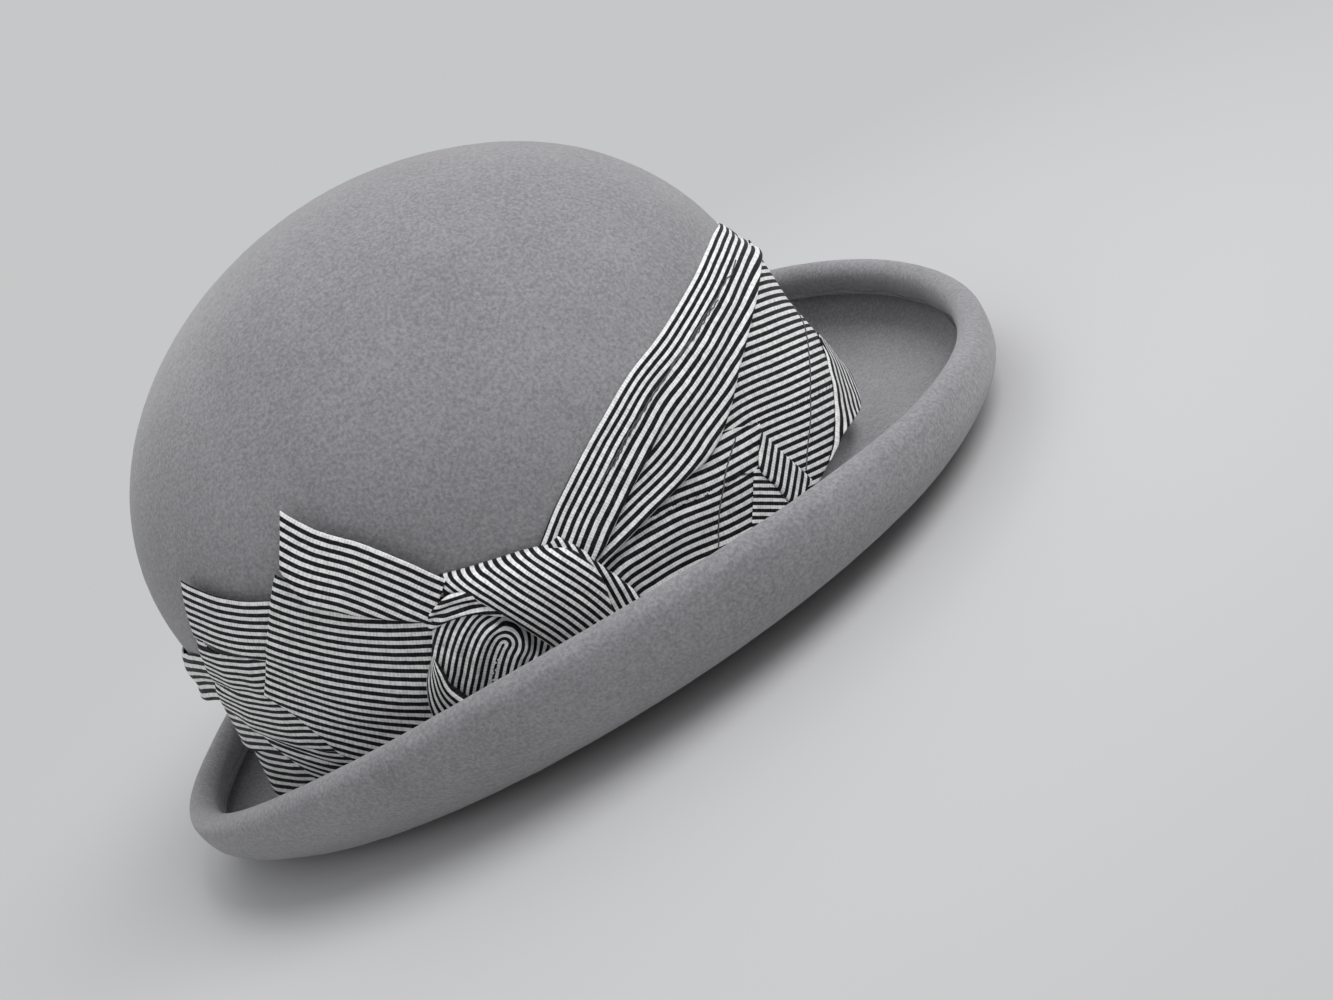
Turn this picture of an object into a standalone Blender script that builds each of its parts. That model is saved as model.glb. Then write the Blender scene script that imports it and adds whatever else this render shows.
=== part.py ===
"""Felt bowler hat with a rolled brim and a knotted sash of striped cloth.

Frame: +X is the front of the hat, +Y the wearer's left, +Z up. The origin is the middle of the brim's
outline, on the plane that the brim rests on. A place on the crown is given by its oval angle
(0 at the front, -90 at the wearer's right, 180 at the back, in degrees) and its height.
"""
import math

import bpy
from mathutils import Vector

MM = 0.001

# Felt
FELT = 2.5 * MM
GAP = 0.4 * MM

# Crown: a half ellipsoid on an oval wall that leans in a little towards the head opening
CROWN_CENTRE_X = -9.0 * MM
CROWN_HALF_LENGTH = 104.0 * MM
CROWN_HALF_WIDTH = 89.5 * MM
DOME_BASE = 70.0 * MM
DOME_HEIGHT = 84.0 * MM
WALL_LEAN = 0.025
CROWN_ROWS = 10
WALL_ROWS = 4

# Brim: the lip is an egg-shaped ring, wider in front, that rises at the sides
LIP_HALF_LENGTH = 142.5 * MM
LIP_HALF_WIDTH = 121.0 * MM
LIP_EGG = 0.12
LIP_HEIGHT = 28.0 * MM
LIP_SIDE_RISE = 9.5 * MM
LIP_ROLL = 3.4 * MM
HEM_DEPTH = 6.0 * MM
HEM_TUCK = 1.0 * MM
FLOOR_WIDTH = 8.0 * MM
FLOOR_SIDE_RISE = 6.0 * MM
FLOOR_FLAT = 0.5 * MM
CURL_ROWS = 6
ROLL_ROWS = 7
TURN_STEPS = 48

# The round ring from which the brim is blocked to its egg shape
ROUND_RADIUS = 100.0 * MM
ROUND_WIDTH = 35.0 * MM
ROUND_HEIGHT = 28.0 * MM

# Inside
SWEATBAND_HEIGHT = 25.0 * MM
SWEATBAND_THICKNESS = 0.9 * MM
SWEATBAND_STANDOFF = 1.3 * MM
WIRE_RADIUS = 0.8 * MM
JOINER_RADIUS = 1.2 * MM
JOINER_LENGTH = 12.0 * MM
THREAD = 0.5 * MM

# Trim: cloth layers lie at these distances from the felt
CLOTH = 1.2 * MM
LAYER_1 = 0.8 * MM
LAYER_2 = 2.7 * MM
LAYER_3 = 4.6 * MM
KNOT_LAYER = 6.6 * MM
TAIL_ROOT_LOW = (-106.5, 31.0)
TAIL_ROOT_HIGH = (-91.5, 64.5)

PART_NAME = "bowler_hat"


def clear_scene():
    for item in list(bpy.data.objects):
        bpy.data.objects.remove(item, do_unlink=True)
    for group in list(bpy.data.collections):
        bpy.data.collections.remove(group)


def new_collection(name):
    group = bpy.data.collections.new(name)
    bpy.context.scene.collection.children.link(group)
    return group


def material(name, colour, roughness, metallic=0.0):
    made = bpy.data.materials.new(name)
    made.use_nodes = True
    shader = made.node_tree.nodes["Principled BSDF"]
    shader.inputs["Base Color"].default_value = (*colour, 1.0)
    shader.inputs["Roughness"].default_value = roughness
    shader.inputs["Metallic"].default_value = metallic
    return made


def add_object(name, mesh, finish, group):
    made = bpy.data.objects.new(name, mesh)
    made.data.materials.append(finish)
    group.objects.link(made)
    return made


def apply_modifiers(item):
    """Replaces the object's mesh by its evaluated one, so that its points can be moved."""
    graph = bpy.context.evaluated_depsgraph_get()
    graph.update()
    baked = bpy.data.meshes.new_from_object(item.evaluated_get(graph))
    finish = item.data.materials[0]
    item.modifiers.clear()
    item.data = baked
    if not baked.materials:
        baked.materials.append(finish)


def turned_sheet(name, profile, finish, group):
    """An open profile of (radius, height) points, turned round Z as a sheet."""
    mesh = bpy.data.meshes.new(name)
    points = [(radius, 0.0, height) for radius, height in profile]
    edges = [(i, i + 1) for i in range(len(points) - 1)]
    mesh.from_pydata(points, edges, [])
    item = add_object(name, mesh, finish, group)
    screw = item.modifiers.new("turn", "SCREW")
    screw.axis = "Z"
    screw.angle = 2.0 * math.pi
    screw.steps = TURN_STEPS
    screw.render_steps = TURN_STEPS
    screw.use_merge_vertices = True
    screw.merge_threshold = 0.00005
    apply_modifiers(item)
    return item


def thicken(item, thickness, offset):
    solid = item.modifiers.new("thickness", "SOLIDIFY")
    solid.thickness = thickness
    solid.offset = offset
    solid.use_even_offset = True
    item.data.shade_smooth()


def wall_scale(height):
    """How much the crown's oval shrinks at a height, from 1 at the foot of the dome."""
    if height >= DOME_BASE:
        share = min(1.0, (height - DOME_BASE) / DOME_HEIGHT)
        return math.sqrt(1.0 - share * share)
    return 1.0 - WALL_LEAN * (1.0 - height / DOME_BASE) ** 1.5


def floor_height(turn):
    """Underside of the brim's floor: flat on the rest plane at front and back, raised at the sides."""
    return max(0.0, FLOOR_SIDE_RISE * math.sin(turn) ** 2 - FLOOR_FLAT)


def lip_height(turn):
    return LIP_HEIGHT - LIP_SIDE_RISE * math.cos(2.0 * turn)


def lip_point(turn):
    """Centre of the rolled lip."""
    x = LIP_HALF_LENGTH * math.cos(turn)
    y = LIP_HALF_WIDTH * math.sin(turn) * (1.0 + LIP_EGG * math.cos(turn))
    return Vector((x, y, lip_height(turn)))


def head_point(turn, inset):
    """A point of the head opening's oval, at the foot of the crown."""
    scale = wall_scale(0.0)
    x = CROWN_CENTRE_X + (CROWN_HALF_LENGTH * scale - inset) * math.cos(turn)
    y = (CROWN_HALF_WIDTH * scale - inset) * math.sin(turn)
    return Vector((x, y, 0.0))


def crown_surface(angle, height):
    """A point of the crown's outer face."""
    turn = math.radians(angle)
    scale = wall_scale(height)
    x = CROWN_CENTRE_X + CROWN_HALF_LENGTH * scale * math.cos(turn)
    y = CROWN_HALF_WIDTH * scale * math.sin(turn)
    return Vector((x, y, height))


def crown_point(angle, height, offset):
    """A point at a distance outside the crown's outer face."""
    step = 0.5
    rise = 0.5 * MM
    here = crown_surface(angle, height)
    along = crown_surface(angle + step, height) - crown_surface(angle - step, height)
    upward = crown_surface(angle, height + rise) - crown_surface(angle, height - rise)
    return here + along.cross(upward).normalized() * offset


def make_crown(group, felt):
    """The blocked felt dome: a turned sheet, pressed to the oval and thickened inwards."""
    foot = FELT + GAP
    profile = []
    for i in range(CROWN_ROWS):
        angle = math.pi / 2 * (1.0 - i / CROWN_ROWS)
        profile.append((CROWN_HALF_LENGTH * math.cos(angle), DOME_BASE + DOME_HEIGHT * math.sin(angle)))
    profile[0] = (0.0, DOME_BASE + DOME_HEIGHT)
    for i in range(WALL_ROWS + 1):
        height = DOME_BASE + (foot - DOME_BASE) * i / WALL_ROWS
        profile.append((CROWN_HALF_LENGTH * wall_scale(height), height))
    crown = turned_sheet("crown", profile, felt, group)
    for vertex in crown.data.vertices:
        turn = math.atan2(vertex.co.y, vertex.co.x)
        vertex.co.x += CROWN_CENTRE_X
        vertex.co.y *= CROWN_HALF_WIDTH / CROWN_HALF_LENGTH
        lift = floor_height(turn) * max(0.0, 1.0 - (vertex.co.z - foot) / (DOME_BASE - foot))
        vertex.co.z += lift
    thicken(crown, FELT, -1.0)
    return crown


def brim_profile():
    """Middle of the felt, from the head opening out along the floor, up the curl, over the roll and down the hem."""
    middle = FELT / 2
    edge = ROUND_WIDTH + LIP_ROLL
    points = [(ROUND_RADIUS, middle), (ROUND_RADIUS + FLOOR_WIDTH, middle)]
    for i in range(1, CURL_ROWS + 1):
        a = math.pi / 2 * i / CURL_ROWS
        out = FLOOR_WIDTH + (edge - FLOOR_WIDTH) * math.sin(a)
        points.append((ROUND_RADIUS + out, middle + (ROUND_HEIGHT - middle) * (1.0 - math.cos(a))))
    for i in range(1, ROLL_ROWS + 1):
        a = math.pi * i / ROLL_ROWS
        out = ROUND_WIDTH + LIP_ROLL * math.cos(a)
        points.append((ROUND_RADIUS + out, ROUND_HEIGHT + LIP_ROLL * math.sin(a)))
    hem = ROUND_RADIUS + ROUND_WIDTH - LIP_ROLL + HEM_TUCK
    points.append((hem, ROUND_HEIGHT - HEM_DEPTH))
    return points


def block_brim(point):
    """Moves a point of the round ring to its place on the egg-shaped brim. The roll keeps its own size."""
    turn = math.atan2(point.y, point.x)
    out = math.hypot(point.x, point.y) - ROUND_RADIUS
    head = head_point(turn, 0.0)
    lip = lip_point(turn)
    span = Vector((lip.x - head.x, lip.y - head.y, 0.0))
    width_share = min(1.0, out / (ROUND_WIDTH - LIP_ROLL - FELT))
    height_share = min(1.0, max(0.0, point.z - FELT / 2) / (ROUND_HEIGHT - HEM_DEPTH - FELT))
    out += (span.length - ROUND_WIDTH) * width_share
    floor = floor_height(turn)
    rise = lip.z - floor - ROUND_HEIGHT
    place = head + span.normalized() * out
    place.z = point.z + floor + rise * height_share
    return place


def make_brim(group, felt):
    brim = turned_sheet("brim", brim_profile(), felt, group)
    for vertex in brim.data.vertices:
        vertex.co = block_brim(vertex.co)
    thicken(brim, FELT, 0.0)
    return brim


def wire_curve(name, points, radius, finish, group, closed):
    """A wire as a POLY curve with a round bevel."""
    data = bpy.data.curves.new(name, "CURVE")
    data.dimensions = "3D"
    data.bevel_depth = radius
    data.bevel_resolution = 1
    data.use_fill_caps = not closed
    spline = data.splines.new("POLY")
    spline.points.add(len(points) - 1)
    for slot, point in zip(spline.points, points):
        slot.co = (*point, 1.0)
    spline.use_cyclic_u = closed
    data.materials.append(finish)
    item = bpy.data.objects.new(name, data)
    group.objects.link(item)
    return item


def make_brim_wire(group, steel):
    """Spring wire in the rolled lip, with its ends meeting in the joiner at the back."""
    half_gap = math.degrees(JOINER_LENGTH / 2 / (LIP_HALF_WIDTH * (1.0 - LIP_EGG)))
    first = -180.0 + half_gap
    span = 360.0 - 2.0 * half_gap
    points = [lip_point(math.radians(first + span * i / TURN_STEPS)) for i in range(TURN_STEPS + 1)]
    return wire_curve("brim_wire", points, WIRE_RADIUS, steel, group, False)


def make_wire_joiner(group, brass):
    """The crimped tube that joins the wire's ends."""
    middle = lip_point(math.pi)
    bpy.ops.mesh.primitive_cylinder_add(vertices=12, radius=JOINER_RADIUS, depth=JOINER_LENGTH - 2.0 * MM)
    joiner = bpy.context.object
    joiner.name = "wire_joiner"
    joiner.data.name = "wire_joiner"
    joiner.location = middle
    joiner.rotation_euler = (math.pi / 2, 0.0, 0.0)
    joiner.data.materials.append(brass)
    for holder in list(joiner.users_collection):
        holder.objects.unlink(joiner)
    group.objects.link(joiner)
    return joiner


def make_sweatband(group, ribbon):
    """The ribbon inside the head opening."""
    inset = FELT + SWEATBAND_STANDOFF
    lowest = FELT + 1.0 * MM
    profile = [(ROUND_RADIUS, lowest + SWEATBAND_HEIGHT * (1.0 - i / 2)) for i in range(3)]
    band = turned_sheet("sweatband", profile, ribbon, group)
    for vertex in band.data.vertices:
        turn = math.atan2(vertex.co.y, vertex.co.x)
        place = head_point(turn, inset)
        vertex.co = (place.x, place.y, vertex.co.z + floor_height(turn))
    thicken(band, SWEATBAND_THICKNESS, -1.0)
    return band


def seam_thread(name, stitches, place, sway, finish, group):
    """One closed run of thread that sways up and down from stitch to stitch."""
    points = []
    for i in range(2 * stitches):
        spot = place(2.0 * math.pi * i / (2 * stitches))
        spot.z += sway if i % 2 else -sway
        points.append(spot)
    thread = wire_curve(name, points, THREAD / 2, finish, group, True)
    thread.data.bevel_resolution = 0
    return thread


def headline_place(turn):
    """Behind the sweatband, over the seam between crown and brim."""
    place = head_point(turn, FELT + GAP + THREAD / 2)
    place.z = FELT + GAP / 2 + floor_height(turn)
    return place


def sweatband_place(turn):
    place = head_point(turn, FELT + SWEATBAND_STANDOFF + SWEATBAND_THICKNESS + GAP + THREAD / 2)
    place.z = 2.0 * FELT + floor_height(turn)
    return place


def hem_place(turn):
    """On the face of the turned-in hem, near its cut edge."""
    head = head_point(turn, 0.0)
    lip = lip_point(turn)
    span = Vector((lip.x - head.x, lip.y - head.y, 0.0)).normalized()
    place = lip - span * (LIP_ROLL + FELT / 2 + GAP + THREAD / 2)
    place.z = lip.z - HEM_DEPTH / 2
    return place


def along(points, share):
    """A smooth path through (angle, height) points, at a share from 0 to 1 (Catmull-Rom)."""
    last = len(points) - 1
    spot = min(share * last, last - 1e-9)
    i = int(spot)
    t = spot - i
    p1 = points[i]
    p2 = points[i + 1]
    p0 = points[i - 1] if i > 0 else tuple(2 * a - b for a, b in zip(p1, p2))
    p3 = points[i + 2] if i + 2 <= last else tuple(2 * b - a for a, b in zip(p1, p2))
    result = []
    for a, b, c, d in zip(p0, p1, p2, p3):
        value = 2 * b + (c - a) * t + (2 * a - 5 * b + 4 * c - d) * t * t + (3 * b - a - 3 * c + d) * t ** 3
        result.append(value / 2)
    return result


def draped_panel(name, lower, upper, offsets, finish, group, columns=10, rows=6, puff=0.0, thickness=CLOTH):
    """A panel of cloth on the crown, between two edges of (angle, height in mm) points.

    offsets are its distances from the felt at the start and at the end of the edges; puff lifts its middle.
    """
    bpy.ops.mesh.primitive_grid_add(x_subdivisions=columns, y_subdivisions=rows, size=2.0)
    panel = bpy.context.object
    panel.name = name
    panel.data.name = name
    for vertex in panel.data.vertices:
        u = (vertex.co.x + 1.0) / 2
        v = (vertex.co.y + 1.0) / 2
        low = along(lower, u)
        high = along(upper, u)
        angle = low[0] + (high[0] - low[0]) * v
        height = (low[1] + (high[1] - low[1]) * v) * MM
        crest = puff * math.sin(math.pi * u) ** 0.7 * math.sin(math.pi * v) ** 0.7
        offset = offsets[0] + (offsets[1] - offsets[0]) * u + crest
        vertex.co = crown_point(angle, height, offset)
    outward = crown_point(lower[0][0], lower[0][1] * MM, 1.0) - crown_point(lower[0][0], lower[0][1] * MM, 0.0)
    if panel.data.polygons[0].normal.dot(outward) < 0:
        panel.data.flip_normals()
    thicken(panel, thickness, 1.0)
    panel.data.materials.append(finish)
    for holder in list(panel.users_collection):
        holder.objects.unlink(panel)
    group.objects.link(panel)
    return panel


def make_trim(group, cloth):
    """Every fold of the sash that lies on the hat."""
    draped_panel("rear_wrap", [(-209, 12), (-180, 9), (-150, 10), (-118, 12)],
                 [(-209, 60), (-180, 68), (-150, 73), (-118, 58)], (LAYER_1, LAYER_1), cloth, group, 16)
    draped_panel("far_sash", [(2, 18), (50, 15), (100, 14), (154, 13)],
                 [(2, 84), (50, 80), (100, 71), (154, 62)], (LAYER_2, LAYER_2), cloth, group, 20)
    draped_panel("front_under_panel", [(-50, 14), (-25, 12), (0, 11)],
                 [(-50, 44), (-30, 60), (0, 70)], (LAYER_1, LAYER_2), cloth, group, 12)
    draped_panel("lower_front_panel", [(-70, 15), (-55, 14), (-40, 14)],
                 [(-71, 43), (-55, 41), (-40, 42)], (LAYER_2, LAYER_2), cloth, group)
    draped_panel("mitre_fold", [(-49, 15), (-34, 14)],
                 [(-47, 40), (-35, 38)], (LAYER_3, LAYER_3), cloth, group, 6)
    draped_panel("front_corner_fold", [(-28, 13), (-2, 12)],
                 [(-20, 36), (-4, 38)], (LAYER_3, LAYER_3 + 1.5 * MM), cloth, group, 8)
    draped_panel("front_sash", [(-70, 46), (-56, 45), (-42, 50), (-20, 66), (0, 70)],
                 [(-78, 58), (-60, 74), (-40, 82), (-20, 86), (0, 84)], (LAYER_3, LAYER_3), cloth, group, 16)


def make_knot(group, cloth):
    """The knot at the wearer's right: the gathered core, the wrap over it and a fold beside it."""
    draped_panel("knot_wrap", [(-93, 60.5), (-87, 48), (-85, 34)],
                 [(-86, 65.5), (-79, 56), (-77.8, 34)], (KNOT_LAYER, KNOT_LAYER), cloth, group,
                 puff=6.0 * MM, thickness=2.0 * MM)
    draped_panel("knot_core", [(-104, 33), (-97.5, 46), (-95.5, 57)],
                 [(-86.8, 33), (-89.5, 46), (-94.4, 58)], (KNOT_LAYER, KNOT_LAYER), cloth, group,
                 puff=4.0 * MM, thickness=2.0 * MM)
    draped_panel("knot_side_fold", [(-76.0, 31), (-77.0, 53)],
                 [(-70.5, 31), (-72, 50)], (KNOT_LAYER, KNOT_LAYER), cloth, group, 6, puff=3.0 * MM)


def tail_frame(group, name, offset):
    """An empty on the line where a tail leaves the knot: the tail lifts round its Z axis."""
    low = crown_point(TAIL_ROOT_LOW[0], TAIL_ROOT_LOW[1] * MM, offset)
    high = crown_point(TAIL_ROOT_HIGH[0], TAIL_ROOT_HIGH[1] * MM, offset)
    empty = bpy.data.objects.new(name, None)
    empty.location = (low + high) / 2
    empty.rotation_mode = "QUATERNION"
    empty.rotation_quaternion = (high - low).to_track_quat("Z", "X")
    group.objects.link(empty)
    return empty


def hang(item, parent):
    """Parents an object without moving it."""
    bpy.context.view_layer.update()
    item.parent = parent
    item.matrix_parent_inverse = parent.matrix_world.inverted()


def make_tails(group, cloth):
    """Two loose ends of the sash, lying back from the knot. The upper one lies on the lower one."""
    lower = draped_panel("lower_tail", [(-150, 36), (-130, 28), TAIL_ROOT_LOW],
                         [(-132.5, 94.5), (-118, 82), TAIL_ROOT_HIGH], (LAYER_2, LAYER_2), cloth, group, 12, 8)
    upper = draped_panel("upper_tail", [(-131, 44), (-120, 32), TAIL_ROOT_LOW],
                         [(-107, 101), (-98.5, 84), TAIL_ROOT_HIGH], (LAYER_3, LAYER_3), cloth, group, 12, 8)
    lower_frame = tail_frame(group, "lower_tail_frame", LAYER_2)
    upper_frame = tail_frame(group, "upper_tail_frame", LAYER_3)
    hang(upper_frame, lower_frame)
    hang(lower, lower_frame)
    hang(upper, upper_frame)


def build():
    clear_scene()
    group = new_collection(PART_NAME)
    felt = material("grey_felt", (0.30, 0.30, 0.32), 0.95)
    cloth = material("striped_cloth", (0.35, 0.35, 0.36), 0.85)
    ribbon = material("grey_ribbon", (0.10, 0.10, 0.11), 0.8)
    steel = material("wire_steel", (0.55, 0.55, 0.56), 0.35, 1.0)
    brass = material("joiner_brass", (0.75, 0.58, 0.28), 0.3, 1.0)
    thread = material("grey_thread", (0.22, 0.22, 0.24), 0.8)
    make_crown(group, felt)
    make_brim(group, felt)
    make_brim_wire(group, steel)
    make_wire_joiner(group, brass)
    make_sweatband(group, ribbon)
    seam_thread("headline_thread", 32, headline_place, 1.2 * MM, thread, group)
    seam_thread("sweatband_thread", 32, sweatband_place, 0.3 * MM, thread, group)
    seam_thread("hem_thread", 36, hem_place, 0.5 * MM, thread, group)
    make_trim(group, cloth)
    make_knot(group, cloth)
    make_tails(group, cloth)


build()
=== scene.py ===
"""Looks of a felt bowler hat with a rolled brim and a knotted sash of striped cloth.

A place on the crown is given as (angle, height): the angle in degrees round the crown's oval, 0 at the
front and -90 at the wearer's right, and the height in millimetres above the plane the brim rests on.
"""
import math

import bmesh
import bpy
import numpy as np
from mathutils import Matrix, Vector


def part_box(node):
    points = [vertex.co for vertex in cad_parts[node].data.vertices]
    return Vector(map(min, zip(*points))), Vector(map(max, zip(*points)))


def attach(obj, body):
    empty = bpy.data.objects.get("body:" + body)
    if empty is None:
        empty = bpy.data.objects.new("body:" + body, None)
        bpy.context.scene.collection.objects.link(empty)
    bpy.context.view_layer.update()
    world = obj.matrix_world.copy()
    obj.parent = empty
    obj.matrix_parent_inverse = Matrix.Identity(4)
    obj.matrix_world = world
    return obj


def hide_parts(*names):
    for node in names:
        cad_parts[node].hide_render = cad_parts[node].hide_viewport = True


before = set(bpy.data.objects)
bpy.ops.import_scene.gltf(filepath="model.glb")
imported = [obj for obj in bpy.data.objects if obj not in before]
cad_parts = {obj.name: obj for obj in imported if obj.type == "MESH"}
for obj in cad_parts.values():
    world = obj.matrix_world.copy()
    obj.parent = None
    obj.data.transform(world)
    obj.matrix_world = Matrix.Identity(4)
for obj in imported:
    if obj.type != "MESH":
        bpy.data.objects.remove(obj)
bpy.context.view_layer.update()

MM = 0.001

# Crown, as the frame has it
CROWN_LOW, CROWN_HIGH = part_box("crown")
CROWN_X = (CROWN_LOW.x + CROWN_HIGH.x) / 2
CROWN_A = (CROWN_HIGH.x - CROWN_LOW.x) / 2
CROWN_B = (CROWN_HIGH.y - CROWN_LOW.y) / 2
DOME_BASE = 70.0 * MM
DOME_HEIGHT = CROWN_HIGH.z - DOME_BASE
WALL_LEAN = 0.025
FELT = 2.5 * MM
GAP = 0.4 * MM

# Brim
BRIM_LOW, BRIM_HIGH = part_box("brim")
LIP_EGG = 0.12
LIP_HEIGHT = 28.0 * MM
LIP_SIDE_RISE = 9.5 * MM
LIP_ROLL = 3.4 * MM
LIP_A = (BRIM_HIGH.x - BRIM_LOW.x) / 2 - LIP_ROLL - FELT / 2
LIP_B = 121.0 * MM
HEM_DEPTH = 6.0 * MM
HEM_TUCK = 1.0 * MM
FLOOR_WIDTH = 8.0 * MM
FLOOR_SIDE_RISE = 6.0 * MM
FLOOR_FLAT = 0.5 * MM
BRIM_WIDTH = 35.0 * MM
COLLAR_RADIUS = 4.0 * MM
COLLAR_RISE = 1.5 * MM
COLLAR_TAPER = 5.0 * MM
COLLAR_TUCK = 0.8 * MM
TURNS = 288
DOME_RINGS = 70
WALL_RINGS = 44

# Sweatband
BAND_HEIGHT = 25.0 * MM
BAND_THICKNESS = 0.9 * MM
BAND_INSET = 3.8 * MM

# Felt colours
FELT_DARK = (0.182, 0.180, 0.190)
FELT_LIGHT = (0.335, 0.331, 0.346)

# Cloth. Edge steps, stripe and yarn pitches are in millimetres, as the weave map is
CLOTH = 0.5 * MM
CELL = 0.9 * MM
EDGE_STEPS = (0.0, 0.15, 0.4, 0.8, 1.3, 2.0)
EDGE_ROUND = 1.6 * MM
RAIL_POINTS = 60
GUIDE_POINTS = 90
WRINKLE_LENGTH = 11 * MM
WRINKLE_HEIGHT = 0.1 * MM
STRIPE = 2.6
YARN_ALONG = 0.9
YARN_ACROSS = 0.43
GATHER_REACH = 11 * MM

# Pulled threads that lie on the cloth
THREAD_RADIUS = 0.2 * MM
THREAD_POINTS = 60
THREAD_START = 7 * MM
THREAD_SWAY_STEP = 2.1
THREAD_SINK = 0.7

# Camera: where the hat is seen from, in degrees and metres
CAMERA_AZIMUTH = 13.1
CAMERA_ELEVATION = 15.2
CAMERA_ROLL = 36.5
CAMERA_DISTANCE = 0.640
CAMERA_TARGET = Vector((CROWN_X, 0.0, 0.060))
CAMERA_AIM_RIGHT = 0.05925
CAMERA_AIM_DOWN = 0.0103
CAMERA_LENS = 55.95

# Stage: how bright the surroundings look, how much light they and the floor give, and where the floor fades
BACKDROP = (0.565, 0.57, 0.575, 1.0)
WORLD_LIGHT = 0.55
FLOOR_BOUNCE = (0.54, 0.54, 0.54)
FADE_START = 0.12
FADE_END = 0.42


# ---------------------------------------------------------------- shape of the hat

def wall_scale(height):
    """How much the crown's oval shrinks at a height."""
    share = np.clip((height - DOME_BASE) / DOME_HEIGHT, 0.0, 1.0)
    lean = WALL_LEAN * np.clip(1.0 - height / DOME_BASE, 0.0, None) ** 1.5
    return np.where(height >= DOME_BASE, np.sqrt(1.0 - share * share), 1.0 - lean)


def floor_height(turn):
    return np.maximum(0.0, FLOOR_SIDE_RISE * np.sin(turn) ** 2 - FLOOR_FLAT)


def lip_place(turn):
    """Centre of the rolled lip."""
    x = LIP_A * np.cos(turn)
    y = LIP_B * np.sin(turn) * (1.0 + LIP_EGG * np.cos(turn))
    return x, y, LIP_HEIGHT - LIP_SIDE_RISE * np.cos(2.0 * turn)


def head_place(turn, inset):
    """A point of the head opening's oval."""
    scale = wall_scale(np.array(0.0))
    x = CROWN_X + (CROWN_A * scale - inset) * np.cos(turn)
    y = (CROWN_B * scale - inset) * np.sin(turn)
    return x, y


def crown_surface(angle, height):
    turn = np.radians(angle)
    scale = wall_scale(height)
    x = CROWN_X + CROWN_A * scale * np.cos(turn)
    y = CROWN_B * scale * np.sin(turn)
    return np.stack(np.broadcast_arrays(x, y, height), axis=-1)


def on_crown(angle, height, offset):
    """Places at a distance outside the crown's outer face. Angle in degrees, the rest in metres."""
    step = 0.5
    rise = 0.5 * MM
    along = crown_surface(angle + step, height) - crown_surface(angle - step, height)
    upward = crown_surface(angle, height + rise) - crown_surface(angle, height - rise)
    normal = np.cross(along, upward)
    normal /= np.linalg.norm(normal, axis=-1, keepdims=True)
    return crown_surface(angle, height) + normal * np.asarray(offset)[..., None]


def ripple(place, wavelength, amplitude, seed):
    """Smooth unevenness: a few waves of different directions."""
    draw = np.random.default_rng(seed)
    waves = 7
    total = np.zeros(place.shape[:-1])
    for _ in range(waves):
        direction = draw.normal(size=3)
        direction /= np.linalg.norm(direction)
        pitch = wavelength * draw.uniform(0.7, 1.5)
        total += np.sin(place @ direction * (2.0 * math.pi / pitch) + draw.uniform(0.0, 2.0 * math.pi))
    return total * amplitude / math.sqrt(waves)


# ---------------------------------------------------------------- mesh helpers

def grid_faces(rows, columns, closed):
    """Quads of a grid of rows x columns points, closed round the columns or not."""
    steps = columns if closed else columns - 1
    row, column = np.meshgrid(np.arange(rows - 1), np.arange(steps), indexing="ij")
    after = (column + 1) % columns
    corners = [row * columns + column, row * columns + after, (row + 1) * columns + after,
               (row + 1) * columns + column]
    return np.stack(corners, axis=-1).reshape(-1, 4)


def add_piece(name, mesh, material):
    piece = bpy.data.objects.new(name, mesh)
    mesh.materials.append(material)
    mesh.shade_smooth()
    bpy.context.scene.collection.objects.link(piece)
    return piece


def turned_piece(name, rows, material):
    """A sheet from rings of points, as an array of rings x turns x 3, with double points welded."""
    mesh = bpy.data.meshes.new(name)
    faces = grid_faces(rows.shape[0], rows.shape[1], True)
    mesh.from_pydata(rows.reshape(-1, 3).tolist(), [], faces.tolist())
    weld(mesh)
    return add_piece(name, mesh, material)


def weld(mesh):
    work = bmesh.new()
    work.from_mesh(mesh)
    bmesh.ops.remove_doubles(work, verts=work.verts, dist=0.002 * MM)
    work.to_mesh(mesh)
    work.free()


def thicken(piece, thickness, offset):
    solid = piece.modifiers.new("thickness", "SOLIDIFY")
    solid.thickness = thickness
    solid.offset = offset


# ---------------------------------------------------------------- felt

def felt_crown(felt):
    """The blocked dome, with the slight unevenness of hand-blocked felt."""
    foot = FELT + GAP
    turn = np.linspace(0.0, 2.0 * math.pi, TURNS, endpoint=False)
    tilt = np.linspace(0.0, math.pi / 2, DOME_RINGS)
    dome_scale = np.sin(tilt)
    dome_height = DOME_BASE + DOME_HEIGHT * np.cos(tilt)
    wall_height = np.linspace(DOME_BASE, foot, WALL_RINGS)[1:]
    scale = np.concatenate([dome_scale, wall_scale(wall_height)])
    height = np.concatenate([dome_height, wall_height])
    x = CROWN_X + CROWN_A * scale[:, None] * np.cos(turn)
    y = CROWN_B * scale[:, None] * np.sin(turn)
    share = np.clip(1.0 - (height - foot) / (DOME_BASE - foot), 0.0, 1.0)
    z = height[:, None] + floor_height(turn) * share[:, None]
    rows = np.stack(np.broadcast_arrays(x, y, z), axis=-1).copy()
    centre = np.array([CROWN_X, 0.0, DOME_BASE])
    outward = rows - centre
    outward[..., 2] = np.maximum(outward[..., 2], 0.0)
    outward /= np.linalg.norm(outward, axis=-1, keepdims=True)
    uneven = ripple(rows, 70 * MM, 0.22 * MM, 3) + ripple(rows, 6 * MM, 0.035 * MM, 4)
    rows += outward * uneven[..., None]
    rows[0] = rows[0].mean(axis=0)
    crown = turned_piece("felt_crown", rows[::-1], felt)
    thicken(crown, FELT, -1.0)
    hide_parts("crown")
    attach(crown, "hat")


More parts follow.
